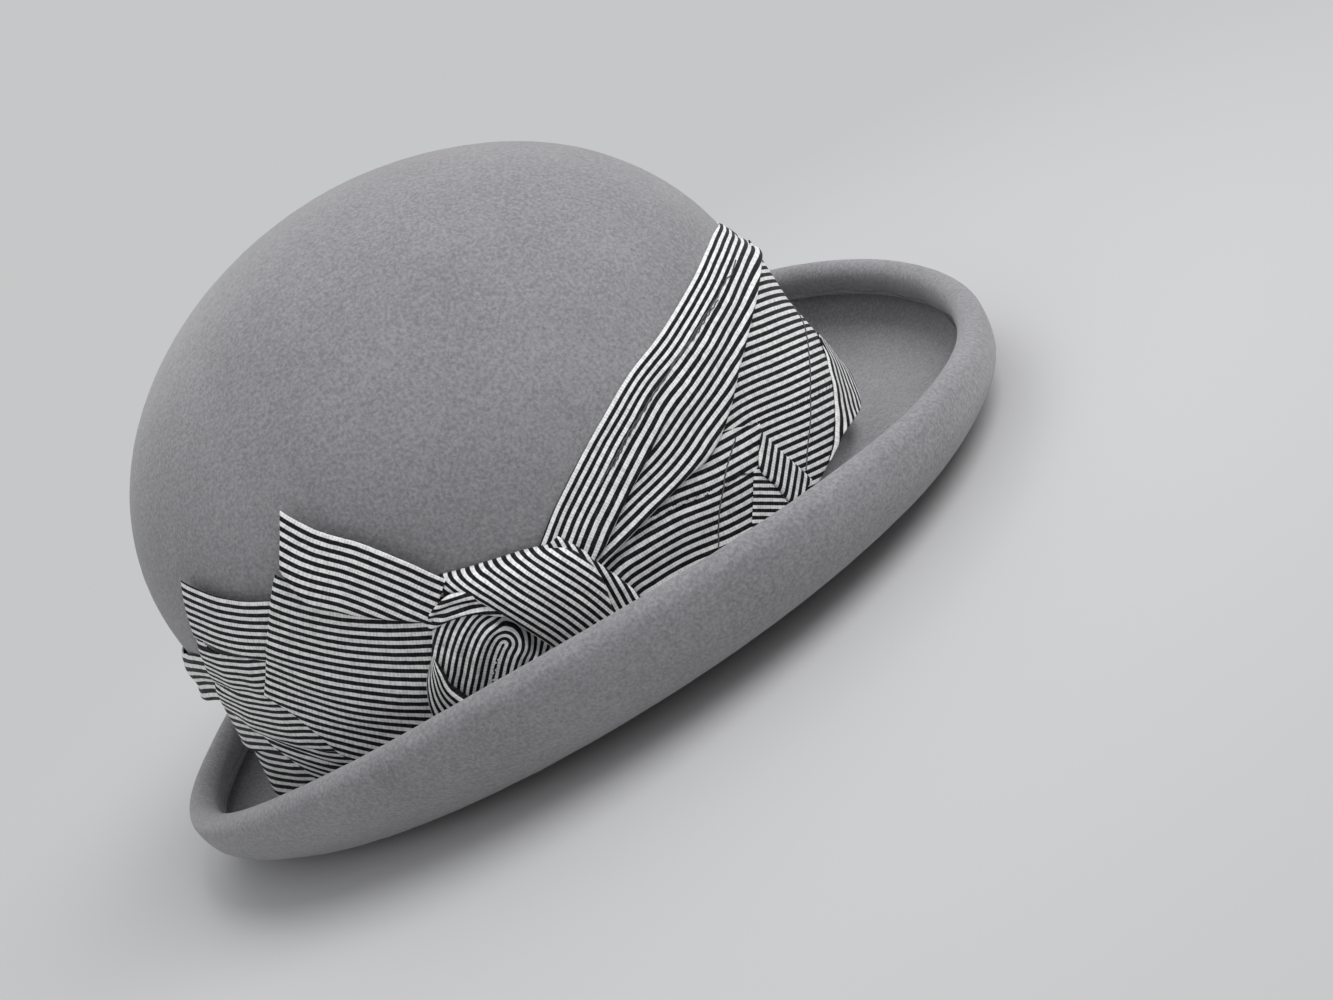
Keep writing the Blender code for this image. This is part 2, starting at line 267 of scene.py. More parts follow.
def brim_profile():
    """Middle of the felt: collar blended into the crown, floor, curl, roll and hem, as (out, height)."""
    middle = FELT / 2
    collar = GAP + FELT / 2
    edge = BRIM_WIDTH + LIP_ROLL
    a = np.linspace(0.0, math.pi / 2, 8)
    bend_out = collar + COLLAR_RADIUS * (1.0 - np.cos(a))
    bend_height = middle + COLLAR_RADIUS * (1.0 - np.sin(a))
    a = np.linspace(0.0, math.pi / 2, 30)
    curl_out = FLOOR_WIDTH + (edge - FLOOR_WIDTH) * np.sin(a)
    curl_height = middle + (LIP_HEIGHT - middle) * (1.0 - np.cos(a))
    a = np.linspace(0.0, math.pi, 17)[1:]
    roll_out = BRIM_WIDTH + LIP_ROLL * np.cos(a)
    roll_height = LIP_HEIGHT + LIP_ROLL * np.sin(a)
    hem = np.linspace(0.0, 1.0, 6)[1:]
    hem_out = BRIM_WIDTH - LIP_ROLL + HEM_TUCK * hem
    hem_height = LIP_HEIGHT - HEM_DEPTH * hem
    taper = np.linspace(1.0, 0.0, 7)
    taper_out = collar - (collar + COLLAR_TUCK) * taper * taper * (3.0 - 2.0 * taper)
    taper_height = bend_height[0] + COLLAR_RISE + COLLAR_TAPER * taper
    out = np.concatenate([taper_out, bend_out, curl_out, roll_out, hem_out])
    height = np.concatenate([taper_height, bend_height, curl_height, roll_height, hem_height])
    return out, height


def felt_brim(felt):
    """The brim, blocked to its egg shape. The roll keeps its own size all round."""
    out, height = brim_profile()
    turn = np.linspace(0.0, 2.0 * math.pi, TURNS, endpoint=False)
    head_x, head_y = head_place(turn, 0.0)
    lip_x, lip_y, lip_z = lip_place(turn)
    span = np.hypot(lip_x - head_x, lip_y - head_y)
    width_share = np.minimum(1.0, out / (BRIM_WIDTH - LIP_ROLL - FELT))[:, None]
    room = LIP_HEIGHT - HEM_DEPTH - FELT
    height_share = np.clip((height - FELT / 2) / room, 0.0, 1.0)[:, None]
    reach = out[:, None] + (span - BRIM_WIDTH) * width_share
    x = head_x + (lip_x - head_x) / span * reach
    y = head_y + (lip_y - head_y) / span * reach
    floor = floor_height(turn)
    z = height[:, None] + floor + (lip_z - floor - LIP_HEIGHT) * height_share
    rows = np.stack([x, y, z], axis=-1)
    rows[..., 2] += ripple(rows, 60 * MM, 0.25 * MM, 8) * height_share
    rows += ripple(rows, 5 * MM, 0.03 * MM, 9)[..., None]
    brim = turned_piece("felt_brim", rows, felt)
    thicken(brim, FELT, 0.0)
    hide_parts("brim")
    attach(brim, "hat")


def ribbon_sweatband(ribbon):
    """The ribbon inside the head opening."""
    turn = np.linspace(0.0, 2.0 * math.pi, TURNS, endpoint=False)
    x, y = head_place(turn, BAND_INSET)
    share = np.linspace(0.0, 1.0, 16)[:, None]
    z = FELT + 1.0 * MM + BAND_HEIGHT * share + floor_height(turn)
    rows = np.stack(np.broadcast_arrays(x, y, z), axis=-1)
    band = turned_piece("ribbon_sweatband", rows, ribbon)
    thicken(band, BAND_THICKNESS, -1.0)
    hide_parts("sweatband")
    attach(band, "hat")


# ---------------------------------------------------------------- striped cloth

def smooth(points, shares):
    """Catmull-Rom values at shares from 0 to 1 of a list of numbers or of points."""
    points = np.atleast_2d(np.asarray(points, float).T).T
    if len(points) == 1:
        return np.repeat(points, len(shares), axis=0)
    ends = np.vstack([2 * points[0] - points[1], points, 2 * points[-1] - points[-2]])
    last = len(points) - 1
    spot = np.clip(shares * last, 0.0, last - 1e-9)
    i = spot.astype(int)
    t = (spot - i)[:, None]
    p0, p1, p2, p3 = ends[i], ends[i + 1], ends[i + 2], ends[i + 3]
    return (2 * p1 + (p2 - p0) * t + (2 * p0 - 5 * p1 + 4 * p2 - p3) * t ** 2
            + (3 * p1 - p0 - 3 * p2 + p3) * t ** 3) / 2


def spaced(length):
    """Shares along a side of a sheet, closer together near its ends, where folds round over."""
    near = np.array(EDGE_STEPS) * MM
    if length < 3 * near[-1]:
        return np.linspace(0.0, 1.0, max(5, int(length / (0.5 * CELL))))
    count = max(2, round((length - 2 * near[-1]) / CELL))
    middle = np.linspace(near[-1], length - near[-1], count + 1)[1:-1]
    return np.concatenate([near, middle, length - near[::-1]]) / length


def guide_path(points, offset):
    """A path on the crown through (angle, height) points, as places."""
    spots = smooth(points, np.linspace(0.0, 1.0, GUIDE_POINTS))
    return on_crown(spots[:, 0], spots[:, 1] * MM, np.full(len(spots), offset))


def beside(place, path):
    """For each place, its distance to a path and how far along the path that is."""
    flat = place.reshape(-1, 3)
    first, last = path[:-1], path[1:]
    step = last - first
    length = np.linalg.norm(step, axis=1)
    start = np.concatenate([[0.0], np.cumsum(length)[:-1]])
    share = np.einsum("pmk,mk->pm", flat[:, None] - first[None], step) / (length ** 2 + 1e-18)
    share = np.clip(share, 0.0, 1.0)
    foot = first[None] + share[..., None] * step[None]
    distance = np.linalg.norm(flat[:, None] - foot, axis=2)
    nearest = distance.argmin(axis=1)
    pick = np.arange(len(flat))
    along = start[nearest] + share[pick, nearest] * length[nearest]
    shape = place.shape[:-1]
    return distance[pick, nearest].reshape(shape), along.reshape(shape)


def round_over(distance, drop):
    """How much a folded edge has dropped at a distance from it."""
    near = np.clip(1.0 - distance / EDGE_ROUND, 0.0, 1.0)
    return drop * (1.0 - np.sqrt(1.0 - near ** 2))


def reach_along(place, axis):
    """Length of the grid lines up to each point, along an axis."""
    step = np.linalg.norm(np.diff(place, axis=axis), axis=-1)
    zero = np.zeros_like(np.take(step, [0], axis=axis))
    return np.concatenate([zero, np.cumsum(step, axis=axis)], axis=axis)


def sheet(low, high, lift_low, lift_high, guide, drop, shift=0.0, density=1.0, gather=0.0,
          puff=0.0, creases=(), waves=(0.0, 1.0, 0.0), extra=None, length=None,
          guide_b=None, total=0.0, density_b=1.0, share_b=None):
    """A piece of cloth between two rails of (angle, height) points. Lifts and depths are in millimetres.

    Shape: lift_low and lift_high are its distances from the felt along the rails. drop is how far it turns
    down at its low, high, start and end sides, puff how far its middle swells, creases are grooves as
    (path, start depth, end depth, width), waves are (height, count, phase) across it, and extra is a
    function that adds to its lift. length is that of the rails, where it has to match a neighbour's.

    Stripes: they run parallel to the guide, moved by shift. density is how closely they are gathered, and
    gather adds to it within GATHER_REACH of the guide. Stripes that count down from total towards guide_b
    take over from them where share_b, along the rails, is 1, or without it towards the high rail.
    """
    probe = np.linspace(0.0, 1.0, RAIL_POINTS)
    low_probe = smooth(low, probe)
    high_probe = smooth(high, probe)
    middle = (low_probe + high_probe) / 2
    lift = (np.mean(lift_low) + np.mean(lift_high)) / 2 * MM
    if length is None:
        spine = on_crown(middle[:, 0], middle[:, 1] * MM, np.full(RAIL_POINTS, lift))
        length = np.linalg.norm(np.diff(spine, axis=0), axis=1).sum()
    low_line = on_crown(low_probe[:, 0], low_probe[:, 1] * MM, np.full(RAIL_POINTS, lift))
    high_line = on_crown(high_probe[:, 0], high_probe[:, 1] * MM, np.full(RAIL_POINTS, lift))
    u = spaced(length)
    v = spaced(np.linalg.norm(high_line - low_line, axis=1).mean())
    low_rail = smooth(low, u)[:, None, :]
    high_rail = smooth(high, u)[:, None, :]
    spot = low_rail + (high_rail - low_rail) * v[None, :, None]
    angle = spot[..., 0]
    height = spot[..., 1] * MM
    flat = on_crown(angle, height, np.full(angle.shape, lift))
    up, across = reach_along(flat, 0), reach_along(flat, 1)
    offset = smooth(lift_low, u) * (1.0 - v) + smooth(lift_high, u) * v
    dome = np.sin(math.pi * u)[:, None] * np.sin(math.pi * v)[None]
    offset = offset + puff * np.clip(dome, 0.0, None) ** 0.6
    offset = offset + waves[0] * np.sin(2.0 * math.pi * (waves[1] * v + waves[2]))
    offset = offset * MM
    for path, start_depth, end_depth, width in creases:
        distance, along = beside(flat, guide_path(path, lift))
        share = along / max(along.max(), 1e-9)
        depth = (start_depth + (end_depth - start_depth) * share) * MM
        offset -= depth * np.exp(-(distance / (width * MM)) ** 2)
    fall = [smooth(side, shares) * MM for side, shares in zip(drop, (u, u, v, v))]
    falls = [round_over(across, fall[0]), round_over(across[:, -1:] - across, fall[1]),
             round_over(up, fall[2].T), round_over(up[-1:] - up, fall[3].T)]
    offset -= np.maximum.reduce(falls)
    if extra is not None:
        offset += extra(flat, u, v) * MM
    offset += ripple(flat, WRINKLE_LENGTH, WRINKLE_HEIGHT, len(low) + int(abs(low[0][0])))
    place = on_crown(angle, height, offset)
    stripe, run = beside(flat, guide_path(guide, lift))
    stripe = stripe * density + gather * np.minimum(stripe, GATHER_REACH)
    if guide_b is not None:
        stripe_b = total * MM - density_b * beside(flat, guide_path(guide_b, lift))[0]
        mix = v[None] if share_b is None else np.clip(smooth(share_b, u), 0.0, 1.0)
        stripe = stripe * (1.0 - mix) + stripe_b * mix
    weave = np.stack([stripe / MM + shift, run / MM], axis=-1)
    return place, weave


def cloth_piece(name, nodes, body, sheets, cloth):
    """Joins sheets of cloth in one piece, with the stripes' coordinates in its weave map."""
    places, weaves, faces, count = [], [], [], 0
    for place, weave in sheets:
        rows, columns = place.shape[:2]
        quads = grid_faces(rows, columns, False)[:, ::-1]
        centre = quads[len(quads) // 2]
        flat = place.reshape(-1, 3)
        normal = np.cross(flat[centre[1]] - flat[centre[0]], flat[centre[3]] - flat[centre[0]])
        outward = flat[centre[0]] - np.array([CROWN_X, 0.0, flat[centre[0]][2]])
        if normal @ outward < 0:
            quads = quads[:, ::-1]
        faces.append(quads + count)
        places.append(flat)
        weaves.append(weave.reshape(-1, 2))
        count += len(flat)
    places, weaves, faces = np.concatenate(places), np.concatenate(weaves), np.concatenate(faces)
    mesh = bpy.data.meshes.new(name)
    mesh.from_pydata(places.tolist(), [], faces.tolist())
    layer = mesh.uv_layers.new(name="weave")
    layer.data.foreach_set("uv", weaves[faces.reshape(-1)].astype(np.float32).reshape(-1))
    weld(mesh)
    piece = add_piece(name, mesh, cloth)
    thicken(piece, CLOTH, -1.0)
    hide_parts(*nodes)
    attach(piece, body)
    return piece


def rear_wrap(cloth):
    """Three pleats that lie round the back of the crown, the lowest flared out over the brim."""
    bottom = sheet([(-212, 13), (-186, 13), (-162, 15.5), (-146, 15), (-112, 12)],
                   [(-212, 36), (-186, 36), (-162, 37), (-146, 37), (-112, 36)],
                   [3.6, 5.6, 8.8, 4.0, 1.4], [0.8, 1.4, 2.2, 1.0, 0.7],
                   [(-218, 8), (-186, 7), (-162, 11), (-146, 10), (-106, 9)], drop=(0.4, 0, 0, 0))
    middle = sheet([(-212, 29), (-186, 29), (-162, 32.5), (-146, 32), (-112, 29)],
                   [(-212, 52), (-186, 50), (-162, 52), (-146, 54), (-112, 48)],
                   [2.9, 4.6, 6.0, 2.6, 2.1], [0.8, 1.0, 1.2, 0.8, 0.7],
                   [(-218, 24), (-186, 25), (-162, 28), (-146, 28), (-106, 25)],
                   shift=0.9, drop=(2.4, 0, 0, 0))
    top = sheet([(-212, 43), (-186, 46), (-162, 52.6), (-146, 53), (-112, 42)],
                [(-212, 62), (-186, 64), (-162, 68.5), (-146, 70), (-112, 57)],
                [2.9, 4.6, 5.7, 2.4, 2.3], [1.0, 1.6, 2.2, 1.0, 0.8],
                [(-218, 38), (-186, 41), (-162, 46.5), (-146, 47.5), (-106, 38)],
                shift=1.7, drop=(2.8, 0.8, 0, 0), waves=(0.4, 1.6, 0.2))
    cloth_piece("rear_sash_wrap", ["rear_wrap"], "hat", [bottom, middle, top], cloth)


def far_sash(cloth):
    """The sash round the wearer's left side: two lower folds and the band above them."""
    low = sheet([(-4, 13), (50, 12), (100, 11), (150, 11)], [(-4, 50), (50, 42), (100, 38), (153.6, 34)],
                [2.6, 3.0, 2.2, 3.2], [2.6, 1.2, 1.2, 3.0], [(-10, 9), (50, 8), (100, 7), (162, 7)],
                drop=(1.2, 0, 0, 0.8), puff=0.6)
    middle = sheet([(-4, 40), (50, 32), (100, 28), (152.4, 26)], [(-4, 72), (50, 66), (100, 58), (156, 50)],
                   [3.2, 3.6, 3.2, 4.2], [0.5, 0.8, 1.2, 3.2], [(-10, 36), (50, 28), (100, 24), (162, 22)],
                   shift=1.1, drop=(1.6, 0, 0, 0.8), waves=(0.3, 1.4, 0.0))
    band = sheet([(-4, 67), (50, 60), (100, 51), (155, 43)], [(-4, 80), (50, 78), (100, 71), (158, 62)],
                 [4.6, 3.8, 3.6, 4.4], [0.6, 0.8, 1.0, 3.0], [(-10, 84), (50, 83), (100, 74), (162, 65)],
                 drop=(1.8, 0.3, 0, 0.8), waves=(0.3, 1.5, 0.3))
    cloth_piece("far_side_sash", ["far_sash"], "hat", [low, middle, band], cloth)


def front_panels(cloth):
    """The panels under the sash, in front of the knot. Returns the two that pulled threads lie on."""
    swell, swell_from, swell_run, swell_height, swell_spread = 2.7, 0.4, 0.5, 0.36, 0.24

    def front_swell(flat, u, v):
        """The cloth stands off the felt part of the way up, more so towards the front."""
        forward = np.clip((u - swell_from) / swell_run, 0.0, 1.0)
        return swell * forward[:, None] * np.exp(-((v - swell_height) / swell_spread) ** 2)[None]

    under = sheet([(-52, 13), (-36, 12.5), (-25, 15.2), (-14, 15), (2, 12)],
                  [(-52, 48), (-36, 58), (-25, 64), (-14, 68), (2, 72)],
                  [1.2, 2.0, 4.2, 4.8, 4.4], [0.8, 1.2, 2.4, 3.2, 4.2],
                  [(-56, 46.6), (-46.4, 45.2), (-37.2, 42.4), (-25.6, 35.4), (-14.5, 28.7), (-3, 21.6),
                   (8, 14.8)], density=1.13, drop=(1.0, 0, 0, 0),
                  waves=(0.3, 1.2, 0.1), extra=front_swell)
    under_piece = cloth_piece("front_under_panel_cloth", ["front_under_panel"], "hat", [under], cloth)
    lower = sheet([(-77, 22), (-66, 15.5), (-58, 13), (-53, 12), (-48, 13.5)],
                  [(-76, 43), (-65, 51), (-55, 51), (-45, 48.5), (-35.5, 40.5)],
                  [3.4, 3.0, 3.0, 3.2, 3.2], [3.0, 2.6, 2.6, 2.8, 3.0],
                  [(-78, 42.5), (-71, 45.2), (-65.9, 44.6), (-58.5, 42.1), (-50.5, 37.1), (-41.4, 32.6),
                   (-34, 29)], density=1.05,
                  drop=(1.2, 0, 0, 1.0), waves=(0.3, 1.5, 0.2),
                  creases=[([(-72, 39), (-62, 41), (-50, 37)], 1.2, 0.2, 1.6)])
    lower_piece = cloth_piece("lower_front_panel_cloth", ["lower_front_panel"], "hat", [lower], cloth)
    level = sheet([(-43.1, 33), (-45.7, 28), (-48.3, 23.2), (-51.5, 17)],
                  [(-41.8, 33), (-41.4, 27), (-41.0, 20.3), (-40.6, 12)], [3.9], [4.3],
                  [(-50, 45), (-47, 41), (-41.6, 33.5), (-36, 25.5), (-33, 21)],
                  density=1.3, drop=(0.5, 0, 0, 0.8))
    upright = sheet([(-38.4, 38.8), (-42.1, 32.6), (-41.4, 25.5), (-40.5, 16.5)],
                    [(-37.2, 39.5), (-36.4, 33), (-35.3, 27), (-33.6, 17.5)],
                    [4.6, 4.8, 4.8, 4.8], [4.2, 4.4, 4.6, 4.8],
                    [(-29, 49.5), (-36, 42.5), (-42, 36.5), (-50, 28.5)], drop=(0.6, 0.4, 0.4, 0))
    cloth_piece("mitre_fold_cloth", ["mitre_fold"], "hat", [level, upright], cloth)
    flap = sheet([(-3.5, 36.8), (-8, 32.6), (-12, 28.3), (-16, 24.4), (-20.2, 21.2), (-23.8, 18.4),
                  (-27, 16)],
                 [(1, 37), (4, 28), (3, 19), (-5.7, 13.9), (-14, 16), (-20.5, 17.2), (-26.6, 15.6)],
                 [7.8, 7.6, 7.2, 6.8, 6.4, 5.8, 5.0], [7.4, 8.6, 9.6, 8.7, 8.0, 7.0, 5.2],
                 [(0, 50), (-8, 40), (-15.5, 31.5), (-19.5, 27.5), (-25, 23), (-32, 18), (-39, 13)],
                 density=0.85, drop=(0.6, 0.5, 0.3, 0))
    cloth_piece("front_corner_fold_cloth", ["front_corner_fold"], "hat", [flap], cloth)
    return under_piece, lower_piece


def front_sash(cloth):
    """The band that climbs from the knot to the front, with a deep valley fold near the knot."""
    left_edge = [(-79.5, 55), (-73, 62.5), (-65, 69.5), (-58, 74.2), (-51, 77.8), (-42.5, 79.6), (-31, 82.2),
                 (-18.2, 84), (-8, 83.6), (4, 80.6)]
    upper_part = [(-44, 65), (-32, 71), (-18, 75.5), (-7, 75.6), (4, 73)]
    valley = [(-74, 44), (-70.2, 46.3), (-64.6, 52), (-59.2, 56.3), (-53, 61)] + upper_part
    tucked = [(-74, 46.5), (-70.2, 48.8), (-64.6, 54.2), (-59.2, 58), (-53, 61.5)] + upper_part
    right_edge = [(-74, 41.5), (-68, 43.5), (-61, 45), (-55, 45.8), (-48, 45.8), (-41, 49.8), (-33, 57),
                  (-22, 64), (-9, 67.8), (4, 66.5)]
    guide = [(-86, 50), (-79.5, 56.5), (-73, 64), (-65, 71), (-58, 75.7), (-51, 79.3), (-42.5, 81.1),
             (-31, 83.7), (-18.2, 85.5), (-8, 85.2), (4, 83), (12, 81)]
    guide_b = [(-80, 38), (-72, 41), (-61, 43.5), (-52, 45.5), (-44, 47.8), (-36, 53), (-27, 60),
               (-16, 64.5), (-2, 66.5), (8, 66)]
    length = 118 * MM
    gather = 0.24
    left = sheet(valley, left_edge, [5.4, 5.3, 5.0, 4.4, 3.7, 3.3, 3.1, 3.0, 2.8, 2.6],
                 [2.4, 1.6, 1.2, 1.1, 1.1, 1.1, 1.0, 0.8, 0.7, 0.7], guide,
                 drop=([1.6, 1.5, 1.2, 0.5, 0.0, 0, 0, 0, 0, 0], 0.5, 0, 0), length=length, gather=gather,
                 creases=[([(-78, 52), (-68, 63), (-58, 69), (-46, 73)], 0.5, 0.3, 1.6)])
    right = sheet(right_edge, tucked, [4.6, 4.6, 4.6, 4.6, 4.4, 3.8, 4.2, 5.2, 5.9, 5.9],
                  [2.6, 2.6, 2.6, 2.7, 2.9, 3.2, 3.1, 3.0, 2.8, 2.6], guide,
                  guide_b=guide_b, total=38.0, density_b=1.15,
                  share_b=[1.0, 1.0, 1.0, 0.8, 0.4, 0.1, 0.0, 0.0, 0.0, 0.0],
                  drop=(1.3, 0, 0, 0), length=length, waves=(0.25, 1.2, 0.2), gather=gather)
    return cloth_piece("front_sash_cloth", ["front_sash"], "hat", [left, right], cloth)


def knot(cloth):
    """The knot: a wide wrap, a small fold beside it, and the gathered core with its swirl."""
    wrap = sheet([(-93.8, 62.6), (-89.6, 55.5), (-87.6, 48), (-86, 40), (-84.8, 32), (-84, 23)],
                 [(-92.6, 65.2), (-87.4, 62.8), (-82, 60), (-77.2, 56.6), (-74.2, 51.5), (-73.2, 41),
                  (-74.6, 31), (-75.6, 23)],
                 [3.6, 7.6, 8.8, 9.2, 8.6, 7.0], [3.0, 4.8, 5.6, 6.0, 6.4, 6.4, 6.0, 5.4],
                 [(-96, 72), (-91.4, 56), (-89.6, 48), (-88, 40), (-86.8, 32), (-85.6, 18)], density=1.34,
                 drop=(2.2, 3.0, 1.0, 2.0), puff=3.4,
                 creases=[([(-86, 60), (-82.5, 50), (-80.5, 38)], 0.9, 0.2, 1.3),
                          ([(-81, 58), (-77.8, 50), (-76.6, 40)], 0.7, 0.7, 1.2)])
    cloth_piece("knot_wrap_cloth", ["knot_wrap"], "hat", [wrap], cloth)
    side = sheet([(-77.5, 57), (-76.4, 46), (-76.6, 36), (-77, 24)],
                 [(-75, 57), (-73, 48.5), (-72.3, 43), (-70.6, 32), (-70.2, 24)],
                 [5.8], [5.8, 5.4, 5.2, 5.0, 5.0], [(-79, 62), (-80, 46), (-81, 30), (-82, 18)], density=1.25,
                 drop=(0, 1.6, 0.6, 1.0))
    cloth_piece("knot_side_fold_cloth", ["knot_side_fold"], "hat", [side], cloth)
    eye = [(-89.9, 41.9), (-90.8, 41), (-92.4, 38.5), (-94.3, 34.8), (-96.5, 30.5), (-102, 18)]
    eye_lift, ridge_height, ridge_pitch, slit_depth, slit_width = 8 * MM, 0.5, 5.6 * MM, 2.0, 1.6 * MM

    def swirl(flat, u, v):
        """Ridges that arch round the eye of the swirl, which is a deep slit."""
        distance = beside(flat, guide_path(eye, eye_lift))[0]
        ridges = ridge_height * np.cos(2.0 * math.pi * distance / ridge_pitch)
        return ridges - slit_depth * np.exp(-(distance / slit_width) ** 2)

    core = sheet([(-96.6, 58.5), (-98.8, 52), (-101, 46), (-102.6, 37), (-103, 25)],
                 [(-87.6, 57), (-86.2, 47), (-85, 38), (-84.5, 30), (-84, 24)],
                 [4.8, 6.0, 6.4, 6.4, 6.0], [6.4, 6.8, 7.0, 7.0, 6.6], eye, shift=1.3, density=1.5,
                 drop=(3.0, 0, 1.0, 2.0), puff=3.0, extra=swirl,
                 creases=[([(-88, 47), (-86.8, 44), (-86.2, 38), (-86.2, 30)], 3.6, 2.6, 1.7),
                          ([(-97.5, 50), (-95.6, 44), (-95.4, 37)], 0.9, 0.2, 1.2)])
    pinch = sheet([(-98, 54.8), (-94, 55), (-90.5, 53), (-87, 47)],
                  [(-98, 57.5), (-95, 60.2), (-91.5, 61.2), (-87, 56)],
                  [7.0, 8.8, 9.4, 9.4], [6.4, 7.6, 8.2, 8.6], [(-101, 55), (-96, 51.5), (-91, 49), (-86, 42)],
                  density=1.4, drop=(1.4, 1.0, 1.6, 0),
                  creases=[([(-98, 56.5), (-93, 58), (-87, 52)], 1.2, 1.2, 1.0)])
    tuck_left = [(-99.8, 48.6), (-102.5, 43.6), (-104.6, 36.8), (-105.4, 31.4), (-106.2, 23.4)]
    tuck_right = [(-99.4, 48.8), (-99.4, 44.4), (-99.6, 38.8), (-98.2, 31.7), (-96.4, 23)]
    tuck = sheet(tuck_left, tuck_right, [8.2, 9.0, 9.4, 9.4, 9.0], [9.6, 10.8, 11.2, 11.0, 10.4],
                 tuck_left, guide_b=tuck_right, total=14.3, drop=(1.0, 2.8, 0.8, 1.0))
    cloth_piece("knot_core_cloth", ["knot_core"], "hat", [core, pinch, tuck], cloth)


def tails(cloth):
    """The two loose ends of the sash, each with its pleats."""
    top = sheet([(-138.5, 79), (-129.4, 69.5), (-120, 62), (-108, 54), (-98.5, 49)],
                [(-135, 94.8), (-126.5, 87.4), (-118, 82), (-105, 75), (-92.6, 62.5)],
                [4.4], [3.5],
                [(-139, 100.5), (-135, 96.2), (-126.5, 88.8), (-118, 83.5), (-105, 76.5), (-91, 64)],
                density=1.1, drop=(1.0, 0.2, 0.2, 0))
    middle = sheet([(-150.2, 53), (-145.5, 45), (-138, 38.5), (-125, 31), (-107, 29)],
                   [(-138.6, 80.5), (-136.4, 72.8), (-128, 68), (-112, 61), (-99.5, 52)],
                   [4.0], [3.3],
                   [(-138, 92), (-140.5, 79), (-138, 74.6), (-131.3, 71.2), (-126, 69.4), (-112, 63.5),
                    (-97, 54)], shift=0.7, density=1.1, drop=(1.3, 0, 0.6, 0), waves=(0.2, 1.5, 0.1),
                   creases=[([(-146, 62), (-139, 58.5), (-130, 57)], 0.7, 0.2, 1.3)])
    bottom = sheet([(-138.2, 22), (-134, 19), (-126, 18), (-108, 25)],
                   [(-149.6, 49.5), (-142.5, 43.5), (-127, 36), (-107.5, 31)], [3.6], [3.2],
                   [(-156, 55), (-150, 50.5), (-142, 46), (-134, 40.5), (-127, 35), (-112, 29)], density=1.1,
                   drop=(0.4, 0, 0.6, 0), creases=[([(-146, 41), (-137, 34), (-130, 26)], 0.6, 0.6, 1.2)])
    cloth_piece("lower_tail_cloth", ["lower_tail"], "lower_tail", [top, middle, bottom], cloth)
    pleat = sheet([(-111.6, 87.4), (-110.8, 78), (-107, 71), (-102, 63.5), (-97, 56.5)],
                  [(-107.4, 100.6), (-103, 91.6), (-98.4, 84), (-94.4, 74), (-91.4, 64.6)],
                  [7.4, 7.6, 7.2, 6.8, 6.4], [5.0, 4.9, 4.9, 4.9, 4.9],
                  [(-110, 107), (-107, 102), (-102.6, 93), (-98, 85.4), (-93.8, 75.4), (-89, 61)],
                  density=1.1, drop=(1.8, 0.3, 0.3, 0))
    main = sheet([(-130.8, 57.2), (-128.2, 49), (-127, 42), (-124.4, 29), (-116, 25), (-106.6, 28)],
                 [(-113.6, 87.4), (-110, 81), (-106, 73.5), (-101, 66), (-96.2, 58.5)],
                 [6.0], [5.0], [(-120, 98), (-115, 89.5), (-109.5, 81), (-103.5, 73), (-94, 63), (-88, 57)],
                 shift=1.3, drop=(1.5, 0, 0.5, 0), waves=(0.25, 2.2, 0.3),
                 creases=[([(-126, 69), (-118, 60), (-108, 50)], 0.5, 0.1, 2.5)])
    cloth_piece("upper_tail_cloth", ["upper_tail"], "upper_tail", [pleat, main], cloth)


def thread_on(name, piece, points, sway, thread):
    """A thin thread that lies on a piece of cloth along (angle, height) points.

    It starts above the cloth and is brought down to the nearest place on it. sway is in millimetres.
    """
    bpy.context.view_layer.update()
    spots = smooth(points, np.linspace(0.0, 1.0, THREAD_POINTS))
    sways = sway * np.sin(np.arange(THREAD_POINTS) * THREAD_SWAY_STEP)
    above = on_crown(spots[:, 0], (spots[:, 1] + sways) * MM, np.full(THREAD_POINTS, THREAD_START))
    data = bpy.data.curves.new(name, "CURVE")
    data.dimensions = "3D"
    data.bevel_depth = THREAD_RADIUS
    data.bevel_resolution = 1
    data.use_fill_caps = True
    line = data.splines.new("POLY")
    line.points.add(THREAD_POINTS - 1)
    for slot, place in zip(line.points, above):
        _, touch, normal, _ = piece.closest_point_on_mesh(Vector(place))
        slot.co = (*(touch + normal * THREAD_RADIUS * THREAD_SINK), 1.0)
    data.materials.append(thread)
    item = bpy.data.objects.new(name, data)
    bpy.context.scene.collection.objects.link(item)
    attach(item, "hat")


def pull_threads(sash_piece, under_piece, lower_piece, thread):
    """The dark threads that show as fine lines across the stripes."""
    thread_on("sash_pulled_thread", sash_piece,
              [(-66, 61.2), (-59.3, 66), (-50.7, 70.6), (-34.8, 74.6), (-15, 77.3)], 0.14, thread)
    thread_on("sash_second_thread", sash_piece,
              [(-63, 62.8), (-57.3, 66.7), (-49, 70.9), (-38, 73.4), (-28, 75.1)], 0.2, thread)
    thread_on("under_panel_pulled_thread", under_piece,
              [(2, 48), (-5, 44.2), (-11.1, 41.4), (-18.5, 36.3), (-24.3, 30.3), (-29.4, 24.5), (-33, 20)],
              0.1, thread)
    thread_on("lower_panel_pulled_thread", lower_piece,
              [(-42, 44), (-47.7, 39), (-53.3, 29.7), (-57, 22)], 0.1, thread)


# ---------------------------------------------------------------- materials

def new_material(name):
    material = bpy.data.materials.new(name)
    material.use_nodes = True
    return material, material.node_tree, material.node_tree.nodes["Principled BSDF"]


def math_node(tree, operation, first, second=0.0):
    node = tree.nodes.new("ShaderNodeMath")
    node.operation = operation
    for socket, value in zip(node.inputs, (first, second)):
        if isinstance(value, (int, float)):
            socket.default_value = value
        else:
            tree.links.new(value, socket)
    return node.outputs[0]


